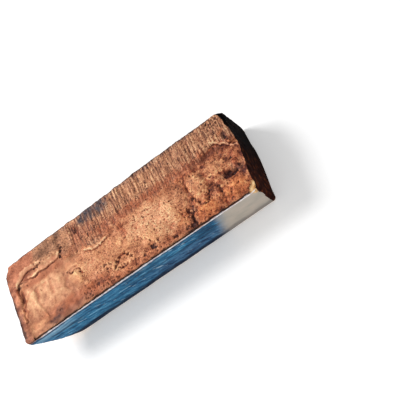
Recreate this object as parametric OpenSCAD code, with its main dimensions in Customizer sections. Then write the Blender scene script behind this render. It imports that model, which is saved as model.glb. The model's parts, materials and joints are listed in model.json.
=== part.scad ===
// Master alloy ingot: one copper bar, cast in an open mould and stored with its rough face up.
// X runs along the bar from the toe to the heel, Y from the near side to the far side, Z up from the base.
// The origin is on the base, in the middle of the bar's length and width.

/* [Bar] */
// Length of the rough face, from the tip of the toe to the edge of the heel
face_length = 198.5; // [160:0.5:260]
// Width of the bar across the rough face
face_width = 65; // [54:0.5:90]
// Height of the rough face above the base at the toe
toe_height = 33; // [28:0.5:44]
// Height of the rough face above the base at the heel
heel_height = 35; // [28:0.5:44]
// How far each long side leans in from the rough face to the base
side_draft = 0.8; // [0.2:0.1:3]

/* [Toe] */
// Height of the upright nose at the tip of the toe
nose_height = 3; // [1.5:0.5:8]
// How far the tip of the toe overhangs the foot of its slope
toe_overhang = 25; // [14:0.5:36]
// Radius that runs the slope of the toe into the base
toe_radius = 42; // [20:1:60]
// How far the tip of the toe draws back at the far side
toe_skew = 1.8; // [0:0.2:5]

/* [Heel] */
// How far the heel bulges at the middle of its width
heel_crown = 2.8; // [0.5:0.1:4]
// How strongly the bulge leans to the far side, from 0 for an even bulge
crown_lean = 0.8; // [0:0.05:1]

/* [Corners and edges] */
// Corner radius in plan where the toe meets the near side
toe_near_radius = 3; // [1:0.5:12]
// Corner radius in plan where the toe meets the far side
toe_far_radius = 10; // [1:0.5:16]
// Corner radius in plan where the heel meets the near side
heel_near_radius = 5; // [1:0.5:12]
// Corner radius in plan where the heel meets the far side
heel_far_radius = 8; // [1:0.5:16]
// Radius along the two long edges of the base
base_edge_radius = 4; // [1:0.5:8]
// Radius along the foot of the heel
heel_foot_radius = 1.5; // [0.5:0.5:6]
// Chamfer along the far edge of the rough face
far_chamfer = 1.5; // [0.5:0.25:3]

/* [Shrunk field] */
// Depth of the field below the band along the far side
field_depth = 1.6; // [0.8:0.1:3]
// Radius of the hollow that the floor of the field follows across the bar
field_hollow = 600; // [300:20:1200]
// Width of the rim that stands between the toe and the field
rim_width = 7.5; // [5:0.5:14]
// Width of the band that stands between the field and the far side
band_width = 26; // [19:0.5:34]

/* [Swells and dents] */
// Rise of each swell above the floor of the field
swell_rise = 1; // [0.3:0.1:1.4]
// Radius of the curve that each swell follows
swell_curve = 60; // [30:1:80]
// Distance of the first swell from the tip of the toe
swell_first = 15; // [10:0.5:24]
// Distance along the bar from one swell to the next
swell_pitch = 21; // [16:0.5:36]
// How far the swells lie to either side of the middle of the field, by turns
swell_stagger = 5; // [2:0.5:9]
// Depth of each dent below the floor of the field
dent_depth = 1.2; // [0.3:0.1:2]
// Radius of the curve that each dent follows
dent_curve = 20; // [10:0.5:30]
// Distance of the middle dent from the tip of the toe
middle_dent_place = 92; // [70:0.5:120]
// Distance of the middle dent from the near side
middle_dent_across = 14; // [12:0.5:26]
// Distance of the cleft, a dent before the heel, from the tip of the toe
cleft_place = 150; // [125:0.5:165]
// Distance of the cleft from the near side
cleft_across = 12; // [11:0.5:26]
// Distance of the heel dent from the edge of the heel
heel_dent_place = 11.5; // [9:0.5:30]
// Distance of the heel dent from the near side
heel_dent_across = 19; // [11:0.5:26]

/* [Bays and folds] */
// Radius of the bay that the field makes behind the rim
rim_bay_radius = 15; // [9:0.5:18]
// Distance of the middle of the rim bay from the tip of the toe
rim_bay_place = 23.5; // [20:0.5:40]
// How far the rim bay reaches into the band
rim_bay_reach = 13; // [6:0.5:15]
// Depth of the shelf in the rim bay
rim_bay_depth = 0.9; // [0.4:0.1:2.5]
// Radius of the second bay, next to the rim bay
second_bay_radius = 9.5; // [6:0.5:14]
// Distance of the middle of the second bay from the tip of the toe
second_bay_place = 42; // [36:0.5:70]
// How far the second bay reaches into the band
second_bay_reach = 9.5; // [4:0.5:13]
// Depth of the second bay
second_bay_depth = 1.3; // [0.4:0.1:2.5]
// Radius of the bay at the heel
heel_bay_radius = 13; // [8:0.5:18]
// Distance of the middle of the heel bay from the edge of the heel
heel_bay_place = 14; // [8:0.5:30]
// How far the heel bay reaches into the band
heel_bay_reach = 8; // [4:0.5:13]
// Depth of the heel bay
heel_bay_depth = 1.3; // [0.4:0.1:2.5]
// Radius of the lobe of the band that laps over the field
lobe_radius = 16; // [8:0.5:30]
// Distance of the middle of the lobe from the tip of the toe
lobe_place = 79; // [72:0.5:120]
// How far the lobe laps over the field
lobe_lap = 3.5; // [1:0.5:8]
// Width of the fold that stands up round each bay
fold_width = 1.6; // [0.8:0.1:3]
// Height of the fold above the band
fold_height = 0.7; // [0.3:0.1:1.5]

/* [Burr] */
// Width of the burr along the near edge of the rough face
burr_width = 1.3; // [0.6:0.1:2.5]
// Height of the burr above the floor of the field
burr_height = 0.8; // [0.3:0.1:1.5]
// Distance of each end of the burr from the end of the rough face
burr_gap = 9; // [6:0.5:30]

/* [Hidden] */
$fn = 96;

// Cuts run this far past the faces that they open
over = 5;
// Largest turn in degrees between two neighbouring points of an arc
arc_step = 6;
// Straight pieces in the bulge of the heel
crown_steps = 12;

heel_reach = max([for (i = [0 : crown_steps]) heel_bulge(i / crown_steps)]);
bar_length = face_length + heel_reach;
tip_x = -bar_length / 2;
heel_x = tip_x + face_length;
near_y = -face_width / 2;
far_y = face_width / 2;
bar_height = max(toe_height, heel_height);
face_tilt = atan((heel_height - toe_height) / face_length);
field_far = face_width - band_width;

// How far the heel stands out at a share of its width, taken from the near side
function heel_bulge(share) = 4 * heel_crown * share * (1 - share) * (1 + crown_lean * (2 * share - 1));

function unit(v) = v / norm(v);

// Points of an arc that rounds one corner of an outline, or the corner itself where the radius is 0
function rounded_corner(corner, ahead, behind, radius) =
    radius == 0 ? [corner] :
    let (
        to_ahead = unit(ahead - corner),
        to_behind = unit(behind - corner),
        half_angle = acos(to_ahead * to_behind) / 2,
        centre = corner + unit(to_ahead + to_behind) * radius / sin(half_angle),
        from = corner + to_behind * radius / tan(half_angle) - centre,
        turn = 180 - 2 * half_angle,
        steps = ceil(turn / arc_step)
    )
    [for (i = [0 : steps]) centre + turned(from, turn * i / steps)];

function turned(v, angle) = [v[0] * cos(angle) - v[1] * sin(angle), v[0] * sin(angle) + v[1] * cos(angle)];

// Outline with straight edges, taken anticlockwise, with its own radius at each corner
module rounded_outline(points, radii) {
    last = len(points) - 1;
    polygon([
        for (i = [0 : last])
            let (ahead = points[i == last ? 0 : i + 1], behind = points[i == 0 ? last : i - 1])
                each rounded_corner(points[i], ahead, behind, radii[i])
    ]);
}

// The bar seen from above: four corners of their own, a skewed toe and a bulged heel
module plan_outline() {
    crown_near = near_y + heel_near_radius;
    crown_far = far_y - heel_far_radius;
    crown = [
        for (i = [1 : crown_steps - 1])
            let (share = i / crown_steps)
                [heel_x + heel_bulge(share), crown_near + (crown_far - crown_near) * share]
    ];
    rounded_outline(
        concat([[tip_x, near_y], [heel_x, near_y]], crown, [[heel_x, far_y], [tip_x + toe_skew, far_y]]),
        concat([toe_near_radius, heel_near_radius], [for (point = crown) 0], [heel_far_radius, toe_far_radius])
    );
}

// The bar seen from the near side: an upright nose, a slope run into the base, and an upright heel
module side_outline() {
    past_heel = heel_x + heel_reach;
    past_height = toe_height + tan(face_tilt) * bar_length;
    rounded_outline(
        [
            [tip_x, toe_height - nose_height],
            [tip_x + toe_overhang, 0],
            [past_heel, 0],
            [past_heel, past_height],
            [tip_x, toe_height]
        ],
        [0, toe_radius, heel_foot_radius, 0, 0]
    );
}

// The bar seen from its end: sides that lean in to a base with round edges
module end_outline() {
    top = bar_height + over;
    lean = side_draft / bar_height;
    near_top = near_y - lean * over;
    far_top = far_y + lean * over;
    rounded_outline(
        [[near_y + side_draft, 0], [far_y - side_draft, 0], [far_top, top], [near_top, top]],
        [base_edge_radius, base_edge_radius, 0, 0]
    );
}

// Stands an outline in Y and Z up and runs it along X
module along_bar(length) rotate([90, 0, 90]) linear_extrude(length) children();

// The casting before its rough face is shaped
module plain_bar() {
    intersection() {
        translate([0, 0, -over]) linear_extrude(bar_height + 2 * over) plan_outline();
        translate([0, far_y + over, 0]) rotate([90, 0, 0]) linear_extrude(face_width + 2 * over) side_outline();
        translate([tip_x - over, 0, 0]) along_bar(bar_length + 2 * over) end_outline();
    }
}

// Frame on the rough face: X from the tip of the toe, Y from the near side, Z out of the face
module on_face() translate([tip_x, near_y, toe_height]) rotate([0, -face_tilt, 0]) children();

// One round bay, from its place along the face and its reach into the band
module bay_outline(place, radius, reach) translate([place, field_far + reach - radius]) circle(radius);

// The field between the rim and the band, open at the near side and the heel
module field_outline() {
    difference() {
        translate([rim_width, -over]) square([bar_length, field_far + over]);
        translate([lobe_place, field_far - lobe_lap + lobe_radius]) circle(lobe_radius);
    }
}

// Each bay as its place, radius, reach and depth
bays = [
    [rim_bay_place, rim_bay_radius, rim_bay_reach, rim_bay_depth],
    [second_bay_place, second_bay_radius, second_bay_reach, second_bay_depth],
    [face_length - heel_bay_place, heel_bay_radius, heel_bay_reach, heel_bay_depth]
];

module bays_outline() for (bay = bays) bay_outline(bay[0], bay[1], bay[2]);

// A ball with its poles on a level line, so that its top and bottom are plain curves
module ball(radius) rotate([90, 0, 0]) sphere(radius, $fn = 240);

// The round swells in the floor of the field, on either side of its middle by turns
module swells() {
    last = floor((face_length - swell_first) / swell_pitch);
    for (i = [0 : last])
        translate([swell_first + i * swell_pitch, field_far / 2 + swell_stagger * (-1) ^ i, 0])
            translate([0, 0, swell_rise - field_depth - swell_curve]) ball(swell_curve);
}

// Each dent as its place along the face and its distance from the near side
dents = [
    [middle_dent_place, middle_dent_across],
    [cleft_place, cleft_across],
    [face_length - heel_dent_place, heel_dent_across]
];

// The hollowed field with its swells, the dents and the bays, as they are taken out of the face
module field_cut() {
    difference() {
        intersection() {
            translate([0, 0, -field_depth - over]) linear_extrude(field_depth + 2 * over) field_outline();
            translate([-over, field_far / 2, field_hollow - field_depth])
                rotate([0, 90, 0]) cylinder(r = field_hollow, h = bar_length + 3 * over, $fn = 720);
        }
        swells();
    }
    for (dent = dents) translate([dent[0], dent[1], dent_curve - field_depth - dent_depth]) ball(dent_curve);
    for (bay = bays) translate([0, 0, -bay[3]]) linear_extrude(bay[3] + over) bay_outline(bay[0], bay[1], bay[2]);
}

// The folds that stand up round the bays, kept inside the plan of the bar
module folds() {
    intersection() {
        linear_extrude(bar_height + over) plan_outline();
        on_face() translate([0, 0, -fold_height]) linear_extrude(2 * fold_height) {
            difference() {
                for (bay = bays) bay_outline(bay[0], bay[1] + fold_width, bay[2] + fold_width);
                bays_outline();
                field_outline();
            }
        }
    }
}

// The burr along the near edge, a ridge with its steep side flush with the near side
module burr() {
    edge_depth = field_depth - (field_hollow - sqrt(field_hollow ^ 2 - (field_far / 2) ^ 2));
    on_face() translate([burr_gap, 0, -edge_depth]) along_bar(face_length - 2 * burr_gap)
        polygon([[side_draft, -burr_height], [2 * burr_width, -burr_height], [burr_width / 2, burr_height]]);
}

// The ridge between the far side and the rough face, which the chamfer takes off
module far_edge_waste() {
    on_face() translate([-over, face_width, 0]) along_bar(bar_length + 3 * over)
        polygon([[-far_chamfer - over, over], [over, -far_chamfer - over], [over, over]]);
}

module ingot() {
    color("peru") {
        difference() {
            union() {
                plain_bar();
                folds();
            }
            on_face() field_cut();
            far_edge_waste();
        }
        burr();
    }
}

ingot();
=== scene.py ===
import json
import math
import random

import bpy
import numpy as np
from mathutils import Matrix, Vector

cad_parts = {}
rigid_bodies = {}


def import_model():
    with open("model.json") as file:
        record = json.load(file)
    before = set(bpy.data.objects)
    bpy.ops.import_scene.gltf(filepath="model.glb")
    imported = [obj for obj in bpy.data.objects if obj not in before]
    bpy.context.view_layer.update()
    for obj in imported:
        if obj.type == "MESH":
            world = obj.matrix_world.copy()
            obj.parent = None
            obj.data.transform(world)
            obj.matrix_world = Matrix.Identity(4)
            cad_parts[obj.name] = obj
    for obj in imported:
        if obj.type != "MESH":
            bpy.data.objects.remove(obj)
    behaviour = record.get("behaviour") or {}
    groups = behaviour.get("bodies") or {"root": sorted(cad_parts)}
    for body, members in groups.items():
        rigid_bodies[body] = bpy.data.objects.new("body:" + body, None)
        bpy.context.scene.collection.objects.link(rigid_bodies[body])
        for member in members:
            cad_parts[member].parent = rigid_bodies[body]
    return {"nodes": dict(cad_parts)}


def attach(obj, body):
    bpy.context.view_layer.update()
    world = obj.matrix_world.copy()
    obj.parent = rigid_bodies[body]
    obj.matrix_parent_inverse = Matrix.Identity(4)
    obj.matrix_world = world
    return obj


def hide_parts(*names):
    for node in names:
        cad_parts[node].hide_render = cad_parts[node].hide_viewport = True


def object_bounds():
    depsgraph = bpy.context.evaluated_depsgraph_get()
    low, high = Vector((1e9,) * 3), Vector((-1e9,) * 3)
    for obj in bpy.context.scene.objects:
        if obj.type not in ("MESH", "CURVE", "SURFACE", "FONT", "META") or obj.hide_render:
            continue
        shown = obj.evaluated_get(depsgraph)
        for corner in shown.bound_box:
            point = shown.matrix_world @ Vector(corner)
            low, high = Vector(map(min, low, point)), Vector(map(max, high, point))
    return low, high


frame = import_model()
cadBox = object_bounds()
scene = bpy.context.scene
scene.view_settings.view_transform = "Standard"
mm = 0.001
tipMark = -100.0  # listed marks call the tip of the toe x = -100 mm
slide = cadBox[0][0] / mm - tipMark
print("frame loaded, box", cadBox)


def srgb(red, green, blue):
    # colours are picked as screen values, nodes want linear light
    parts = [c / 255 for c in (red, green, blue)]
    return tuple(c / 12.92 if c <= 0.04045 else ((c + 0.055) / 1.055) ** 2.4 for c in parts) + (1.0,)


# camera

camSettings = {
    "place": (239.0 + slide, -332.8, 569.7),  # millimetres
    "turn": (18.716, 29.042, -25.668),  # degrees about x, y, z
    "lens": 88.7,
}


def addCamera():
    bpy.ops.object.camera_add(location=[v * mm for v in camSettings["place"]])
    cam = bpy.context.object
    cam.name = "photoCamera"
    cam.rotation_euler = [math.radians(a) for a in camSettings["turn"]]
    cam.data.lens = camSettings["lens"]
    cam.data.sensor_width = 36
    scene.camera = cam


addCamera()
print("camera set")

# painting masks on vertices, everything in millimetres


def smoothStep(low, high, value):
    t = np.clip((value - low) / (high - low), 0, 1)
    return t * t * (3 - 2 * t)


def blob(x, y, cx, cy, rx, ry, soft):
    reach = np.hypot((x - cx) / rx, (y - cy) / ry)
    return 1 - smoothStep(1 - soft, 1 + soft, reach)


def lineDistance(x, y, points):
    # distance to a hand-drawn line, and which side of it a point lies on
    best = np.full(x.shape, 1e9)
    side = np.zeros(x.shape)
    for (ax, ay), (bx, by) in zip(points, points[1:]):
        dx, dy = bx - ax, by - ay
        t = np.clip(((x - ax) * dx + (y - ay) * dy) / (dx * dx + dy * dy), 0, 1)
        gap = np.hypot(x - ax - t * dx, y - ay - t * dy)
        closer = gap < best
        best[closer] = gap[closer]
        side[closer] = np.sign(dx * (y - ay) - dy * (x - ax))[closer]
    return best, side


def wander(x, y, size, seed):
    # a smooth wobble of about -1 to 1, for uneven borders
    total = np.zeros(x.shape)
    pick = random.Random(seed)
    for i in range(5):
        angle, phase = pick.uniform(0, math.tau), pick.uniform(0, math.tau)
        rate = math.tau / (size * pick.uniform(0.55, 1.6))
        total += np.sin(rate * (x * math.cos(angle) + y * math.sin(angle)) + phase)
    return total / 3.2


def readVectors(items, key):
    values = np.empty(len(items) * 3)
    items.foreach_get(key, values)
    return values.reshape(-1, 3)


def vertexPlaces(piece):
    places = readVectors(piece.data.vertices, "co") / mm
    places[:, 0] -= slide
    return places


def vertexNormals(piece):
    return readVectors(piece.data.vertices, "normal")


def useOnly(piece):
    bpy.ops.object.select_all(action="DESELECT")
    piece.select_set(True)
    bpy.context.view_layer.objects.active = piece


def paintGroup(piece, name, weights):
    group = piece.vertex_groups.new(name=name)
    for i in np.nonzero(weights > 0.002)[0]:
        group.add([int(i)], float(min(weights[i], 1.0)), "REPLACE")


def applyModifier(piece, name):
    useOnly(piece)
    bpy.ops.object.modifier_apply(modifier=name)
    piece.vertex_groups.clear()


def displace(piece, name, weights, strength, direction="Z", texture=None, guide=None):
    # one sculpting stroke: paint where, push by how much, apply
    paintGroup(piece, name, weights)
    push = piece.modifiers.new(name, "DISPLACE")
    push.vertex_group = name
    push.direction = direction
    push.strength = strength * mm
    push.mid_level = 0.5 if texture else 0.0
    if texture:
        push.texture = texture
        push.texture_coords = "OBJECT" if guide else "LOCAL"
        push.texture_coords_object = guide
    applyModifier(piece, name)


def cloudTexture(name, size, depth):
    tex = bpy.data.textures.new(name, "CLOUDS")
    tex.noise_scale = size
    tex.noise_depth = depth
    return tex


def guideEmpty(name, scale):
    # stretches a texture: its axes are this many millimetres long
    bpy.ops.object.empty_add()
    guide = bpy.context.object
    guide.name = name
    guide.scale = [v * mm for v in scale]
    bpy.context.view_layer.update()
    return guide


# the casting itself

ingotSettings = {
    "voxel": 0.5,  # mesh size, mm
    "toeHeight": 33.0,  # rough face above the base at the toe
    "heelHeight": 35.0,
    "heelX": 98.5,
    "nearY": -32.5,
    "bandY": 6.5,  # where the band along the far side begins
    "stripesFrom": (-46, -33),  # where the stripes of the band set in
    "rimX": -92.5,  # inner edge of the rim at the toe
    "keepAbove": 25.0,  # sides are thinned below this height
    "triangles": 186000,  # the whole mesh after thinning
    "softenPasses": 160,
    "droop": 2.4,  # how far the near edge hangs at the heel
    "crown": 2.8,  # bulge of the heel and how far it leans to the far side
    "crownLean": 0.8,
    "flareTo": 100.7,  # the heel's far corner stands out this far
    "flare": 7.0,  # and moves by this much at most
    "heelCorner": 8.0,  # radius of the heel's far corner in plan
    "farCornerY": 24.5,  # middle of both far corners
    "toeCornerX": -92.0,
    # areas of the rough face: from x, to x, half width
    "inner": (-97, 96, 30.5),
    "softenArea": (-98.5, 97, 30.5),
    "ease": (9, 0.75),  # how far and how much the band's step is eased
    # lobe of the band: middle and radius
    "lobe": (-21, 19, 16),
    # bays of the field and the rim's far corner: x, y, half length, half width
    "bays": [(-76.5, 3, 16, 15), (-58, 6.5, 9.5, 9.5), (84.5, -1, 14, 13)],
    "farRim": (-88, 30, 17, 17),
    "burrDrop": 2.3,  # the burr's middle below the rough face
    "seed": 11,
    "tuck": 1.5,  # of the far edge, at most
    # share of the tuck at places along the bar
    "tuckFar": (
        [-100, -80, -50, -20, 10, 30, 60, 85, 100],
        [1.0, 0.9, 0.75, 0.75, 0.4, 0.0, 0.0, 0.5, 0.6],
    ),
    # folds: height, half width, shine of the lip (its painted highlight), points with the gutter (with
    # painted shade) on the right hand
    "folds": [
        (0.8, 1.2, 0.25, [
            (-94, -17), (-93.4, -12), (-93, -7), (-92.6, 1), (-92.6, 6.5), (-92.3, 10.2),
        ]),
        (0.9, 1.0, 1.0, [(-91.3, 10.8), (-90.3, 12.2), (-87.3, 14.2)]),
        (1.0, 2.2, 1.1, [(-87.3, 14.2), (-84.3, 16.2), (-80.3, 17.2), (-76.3, 17.2)]),
        (1.0, 1.2, 0.9, [(-76.3, 17.2), (-73.3, 16.6), (-70.8, 17.4), (-68.8, 17.6)]),
        (1.1, 2.4, 0.75, [
            (-78.3, 11.6), (-75.3, 11), (-70.3, 11.2), (-65.3, 11.4), (-61.3, 11.8), (-57.3, 12),
        ]),
        (0.9, 1.1, 0.8, [(-57.3, 12), (-54.3, 12.4), (-52.3, 13.4), (-50.8, 14)]),
        (1.0, 0.98, 1.05, [
            (-30.8, 3.4), (-28.3, 2.6), (-25.8, 1), (-22.3, 0.4), (-18.3, 0.2), (-15.8, 1.4), (-13.3, 2.4),
        ]),
        (0.7, 0.5, 0.7, [(-13.3, 2.4), (-10.3, 3)]),
        (1.0, 0.6, 1.0, [
            (84.4, 12.6), (86.2, 13), (87.7, 12.4), (89.7, 10.2), (91.2, 8.6), (93.5, 8), (95.2, 5.9),
        ]),
        (1.0, 0.6, 1.0, [(95.2, 5.9), (97.2, 3), (100.2, 2)]),
        (0.45, 0.8, 0.3, [(-50, -2), (-48, -1), (-45.5, -0.6), (-42, -1.8), (-39.6, -5), (-38.6, -9)]),
    ],
    # soft steps on the smooth part: height, points with the low side on the right hand
    "facets": [
        (0.9, [(-76.5, -20), (-79.3, -12), (-80.2, -1)]),
        (0.5, [(-52, -18), (-55.6, -11), (-55, -4)]),
        (0.65, [(-36.4, -19), (-40, -14), (-42.8, -8.4)]),
        (0.4, [(-66.5, -13), (-66, -7), (-67, -1)]),
        (0.6, [(-84, 1.5), (-76, 2.6), (-68, 2.2)]),
    ],
    # cracks: depth, half width, points
    "cracks": [
        (0.8, 0.7, [(52, -31.5), (50.8, -26), (51.6, -21), (49.6, -15)]),
        (0.45, 1.0, [(-49, 27), (-49.5, 22), (-48, 17), (-50, 13), (-51, 9)]),
        (0.3, 0.9, [(-2, 4), (-1.2, -4), (-2.5, -12)]),
        (0.4, 0.8, [(43.5, -10), (43, -14), (46, -20)]),
        (0.65, 0.85, [(55.5, 3), (55, -6), (56.5, -11), (59.3, -17), (62, -20.6), (65.3, -22)]),
        (0.7, 0.85, [(65.3, -22), (67, -18.6), (68.2, -17), (70.2, -11.6), (74.2, -11), (76.7, -17)]),
        (0.65, 0.8, [(76.7, -17), (77.2, -24), (75.7, -30)]),
        (0.4, 0.9, [(70.2, -11), (71, -4), (69, 0)]),
        (0.5, 0.8, [(-36.5, 12), (-36, 20), (-36.8, 28)]),
        (0.5, 0.45, [(69, 27), (68.8, 18), (68.6, 8)]),
        (0.6, 0.6, [(-15, -21.5), (-12.4, -18.6), (-9, -15.8), (-5, -15.4)]),
        (0.6, 0.6, [(-5, -15.4), (-2.8, -17.6), (-0.8, -20.6)]),
        (0.5, 0.6, [(-12.4, -22.8), (-9, -24.6), (-5, -24)]),
        (0.6, 0.55, [
            (-49.5, -3.4), (-47.5, -4.8), (-45, -3.4), (-42.5, -3.8), (-40.4, -6.6), (-39.6, -10),
        ]),
    ],
    # mounds and dents: x, y, half length, half width, height
    "mounds": [
        (-85, -8, 4.5, 9, 0.6), (-73, -8, 5.5, 9, 0.6), (-61, -5, 4.5, 8, 0.5), (-46, -11, 6, 6, 0.5),
        (-30, -6, 8, 7, 0.4), (22, -7, 21, 11, 0.5), (49, -6, 5, 7, 0.7), (62.5, -6, 6.5, 9, 0.9),
        (63, -25, 8, 5, 0.9), (87, -23, 9, 6, 1.0), (73, -22, 3, 6, 0.6), (80, -3, 8, 6, 0.6),
        (95, -4, 4, 5, 0.5), (-87, -25, 7, 3, 0.4),
    ],
    "dents": [
        (-20, -20, 4, 3.5, 0.5), (50.5, -23, 3, 7, 0.4), (89, -12.6, 7, 2.2, 0.8), (36, -20, 3, 3, 0.4),
        (96, 13.5, 2.4, 4, 0.8), (-91, 2, 1.4, 8, 0.7), (14, -24, 4, 2, 0.5), (30, -27, 3, 2, 0.5),
        (-70, -26, 8, 2.5, 0.4), (78, 8.5, 14, 2.2, 0.5), (-33, -23, 3, 2, 0.4), (0, -27, 5, 1.6, 0.4),
        (-82, 13.5, 7, 2, 0.5), (96, -12, 3, 3, 0.6),
    ],
    # pits, listed one by one: x, y, half length, half width, depth
    "pits": [
        (-14.3, -21, 1.6, 1.1, 1), (-12.3, -18, 1.1, 1.3, 0.9), (-9.5, -15.6, 1.5, 0.6, 0.8),
        (-5.5, -15.4, 1.4, 0.6, 0.8), (-3, -17.4, 1.2, 0.9, 1), (-0.8, -20.4, 1.2, 0.8, 0.9),
        (-9.8, -24, 0.9, 1.1, 0.9), (-5.8, -24.4, 1.3, 0.9, 0.9), (-17.8, -19.6, 0.9, 0.7, 0.8),
        (-20.6, -19, 0.7, 0.9, 0.7), (-22, -15.5, 0.9, 0.5, 0.6), (-11.5, -23, 1.2, 0.6, 0.6),
        (-46.8, -5.2, 1.7, 0.8, 1), (-42.4, -4.2, 0.6, 1.2, 0.8), (-40.4, -6.8, 0.6, 1.8, 0.9),
        (-50.5, -1.8, 1.2, 0.6, 0.7), (-91.4, 9.2, 1.4, 1.2, 1), (-88.5, 12, 0.9, 0.7, 0.7),
        (-73, 15.9, 2, 0.7, 0.9), (-71.3, 15.4, 0.8, 1, 0.7), (-49.8, 14.5, 1.6, 1, 1),
        (-51.3, 11.5, 0.9, 1.3, 0.9), (-47.6, 16.8, 0.8, 1.8, 0.7), (-50.6, 9.5, 0.6, 0.8, 0.7),
        (16, -24.4, 1.4, 1.8, 0.9), (18.3, -26, 0.9, 1.2, 0.8), (34.6, -28.6, 1.8, 1.2, 1),
        (8.6, -27, 0.9, 0.9, 0.8), (22.3, -23, 0.6, 1.2, 0.6), (23, -15.3, 0.8, 0.6, 0.7),
        (14.5, -15.6, 0.6, 0.6, 0.7), (-31.5, -24, 1.2, 1.4, 0.6), (50.5, -25, 1.6, 4, 1),
        (48.5, -28.5, 2.5, 2, 0.9), (53, -20.5, 1.6, 0.8, 0.8), (49, -18, 0.9, 2, 0.8),
        (86.5, -11.2, 2.4, 1.2, 0.9), (91, -13.6, 3.2, 1, 1), (83, -13.4, 1.4, 0.8, 0.8),
        (95.5, -11, 1.4, 1.2, 0.8), (94, -15.6, 1, 0.7, 0.7), (95.6, 12, 1.2, 1.6, 1),
        (97, 9, 0.8, 1.6, 0.8), (90.8, 15.6, 0.8, 0.7, 0.7), (94.6, 21.6, 0.6, 0.7, 0.7),
        (-32, 22, 0.5, 2.5, 0.7), (-33, 19.5, 0.5, 2, 0.7), (-17, 18, 0.45, 4, 0.6),
        (-24, 13, 0.5, 3, 0.6), (12, 17, 0.45, 3.5, 0.6), (30.5, 19, 0.5, 2.2, 0.6),
        (20, 15, 0.4, 3, 0.5), (56.4, -12.6, 0.7, 1.2, 0.8), (59.6, -17.6, 0.8, 0.9, 0.8),
        (63.6, -21.4, 1.2, 0.6, 0.8), (67.2, -19.4, 0.7, 1.1, 0.9), (69.2, -14.4, 0.7, 1.2, 0.8),
        (72.4, -11.2, 1.2, 0.6, 0.7), (76, -15.6, 0.7, 1.2, 0.8), (77.2, -21, 0.6, 1.3, 0.8),
        (54.8, -3, 0.6, 1.3, 0.7), (92.6, -3.4, 1.6, 0.9, 0.7), (96, -7, 0.8, 1.2, 0.7),
        (88, -1.6, 1, 0.7, 0.6), (48, 13, 0.6, 1, 0.6), (74, 23, 0.7, 0.8, 0.5),
        (-65.5, -23.5, 2.2, 1.2, 0.4), (1, 2.6, 0.7, 0.9, 0.7),
    ],
    # pinholes scattered by area: count, x range, y range, size range
    "pinholes": [
        (170, (0, 46), (-29, 3), (0.3, 0.6)),
        (40, (-40, 0), (-31, -12), (0.3, 0.7)),
        (110, (46, 97), (-30, 6), (0.4, 0.9)),
        (14, (-90, -40), (-30, 8), (0.3, 0.6)),
        (14, (-16, 1), (-25.5, -15), (0.4, 0.9)),
        (12, (-26, -14), (-22, -14), (0.4, 0.8)),
        (18, (44, 54), (-31, -15), (0.4, 0.9)),
        (70, (-40, 95), (6, 29), (0.3, 0.6)),
        (60, (72, 98), (13, 29), (0.4, 0.9)),
        (70, (-45, 46), (-31, -24), (0.4, 0.9)),
    ],
}


def faceHeight(x):
    s = ingotSettings
    share = (x - tipMark) / (s["heelX"] - tipMark)
    return s["toeHeight"] + (s["heelHeight"] - s["toeHeight"]) * share


def remesh(piece):
    useOnly(piece)
    piece.data.remesh_voxel_size = ingotSettings["voxel"] * mm
    bpy.ops.object.voxel_remesh()


def nearDroop(x):
    # the near edge hangs lower and lower towards the heel
    return ingotSettings["droop"] * smoothStep(-10, 110, x)


def copyNode():
    useOnly(frame["nodes"]["ingot"])
    bpy.ops.object.duplicate()
    piece = bpy.context.object
    piece.name = "ingotCasting"
    piece.data.name = "ingotCasting"
    useOnly(piece)
    bpy.ops.object.parent_clear(type="CLEAR_KEEP_TRANSFORM")
    bpy.ops.object.transform_apply(location=True, rotation=True, scale=True)
    bpy.ops.mesh.customdata_custom_splitnormals_clear()  # the new mesh shades by its own shape
    bpy.ops.object.mode_set(mode="EDIT")
    bpy.ops.mesh.select_all(action="SELECT")
    bpy.ops.mesh.remove_doubles(threshold=0.00001)
    bpy.ops.object.mode_set(mode="OBJECT")
    remesh(piece)
    piece.data.materials.clear()
    return piece


def bandBorder(x):
    # near edge of the band, with the lobe that laps over the field
    edge = ingotSettings["bandY"]
    lobeX, lobeY, radius = ingotSettings["lobe"]
    lobe = lobeY - np.sqrt(np.maximum(radius ** 2 - (x - lobeX) ** 2, 0))
    return np.where(np.abs(x - lobeX) < radius, np.minimum(edge, lobe), edge)


def within(x, y, area):
    fromX, toX, halfWidth = area
    return (np.abs(y) < halfWidth) & (x > fromX) & (x < toX)


def pastCorner(x, y):
    # how far a spot lies from the middle of the toe's round far corner
    s = ingotSettings
    return np.hypot(np.maximum(s["toeCornerX"] - x, 0), np.maximum(y - s["farCornerY"], 0))


def faceZones(places):
    # where each part of the rough face lies, 0 to 1, and the face as a whole
    s = ingotSettings
    x, y, z = places.T
    inner = within(x, y, s["inner"])
    top = np.maximum(smoothStep(-3.4, -2.6, z - faceHeight(x)), inner & (z > s["keepAbove"]))
    bay = np.max([blob(x, y, *area, 0.06) for area in s["bays"]], axis=0)
    band = smoothStep(-1.2, 1.8, y - bandBorder(x) - 1.4 * wander(x, y, 22, 3)) * (1 - bay)
    plain = blob(x, y, *s["farRim"], 0.12)  # the rim widens into the far corner
    rim = np.maximum(1 - smoothStep(-1, 1, x - s["rimX"] - 0.8 * wander(x, y, 17, 5)), plain * (1 - bay))
    band = band * (1 - rim)
    field = (1 - band) * (1 - rim)
    return {
        "top": top,
        "band": band,
        "rim": rim,
        "field": field,
        "smooth": field * (1 - smoothStep(-50, -34, x + 5 * wander(x, y, 25, 9))),
        "heel": (1 - band) * smoothStep(44, 54, x + 3 * wander(x, y, 20, 13)),
    }


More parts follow.
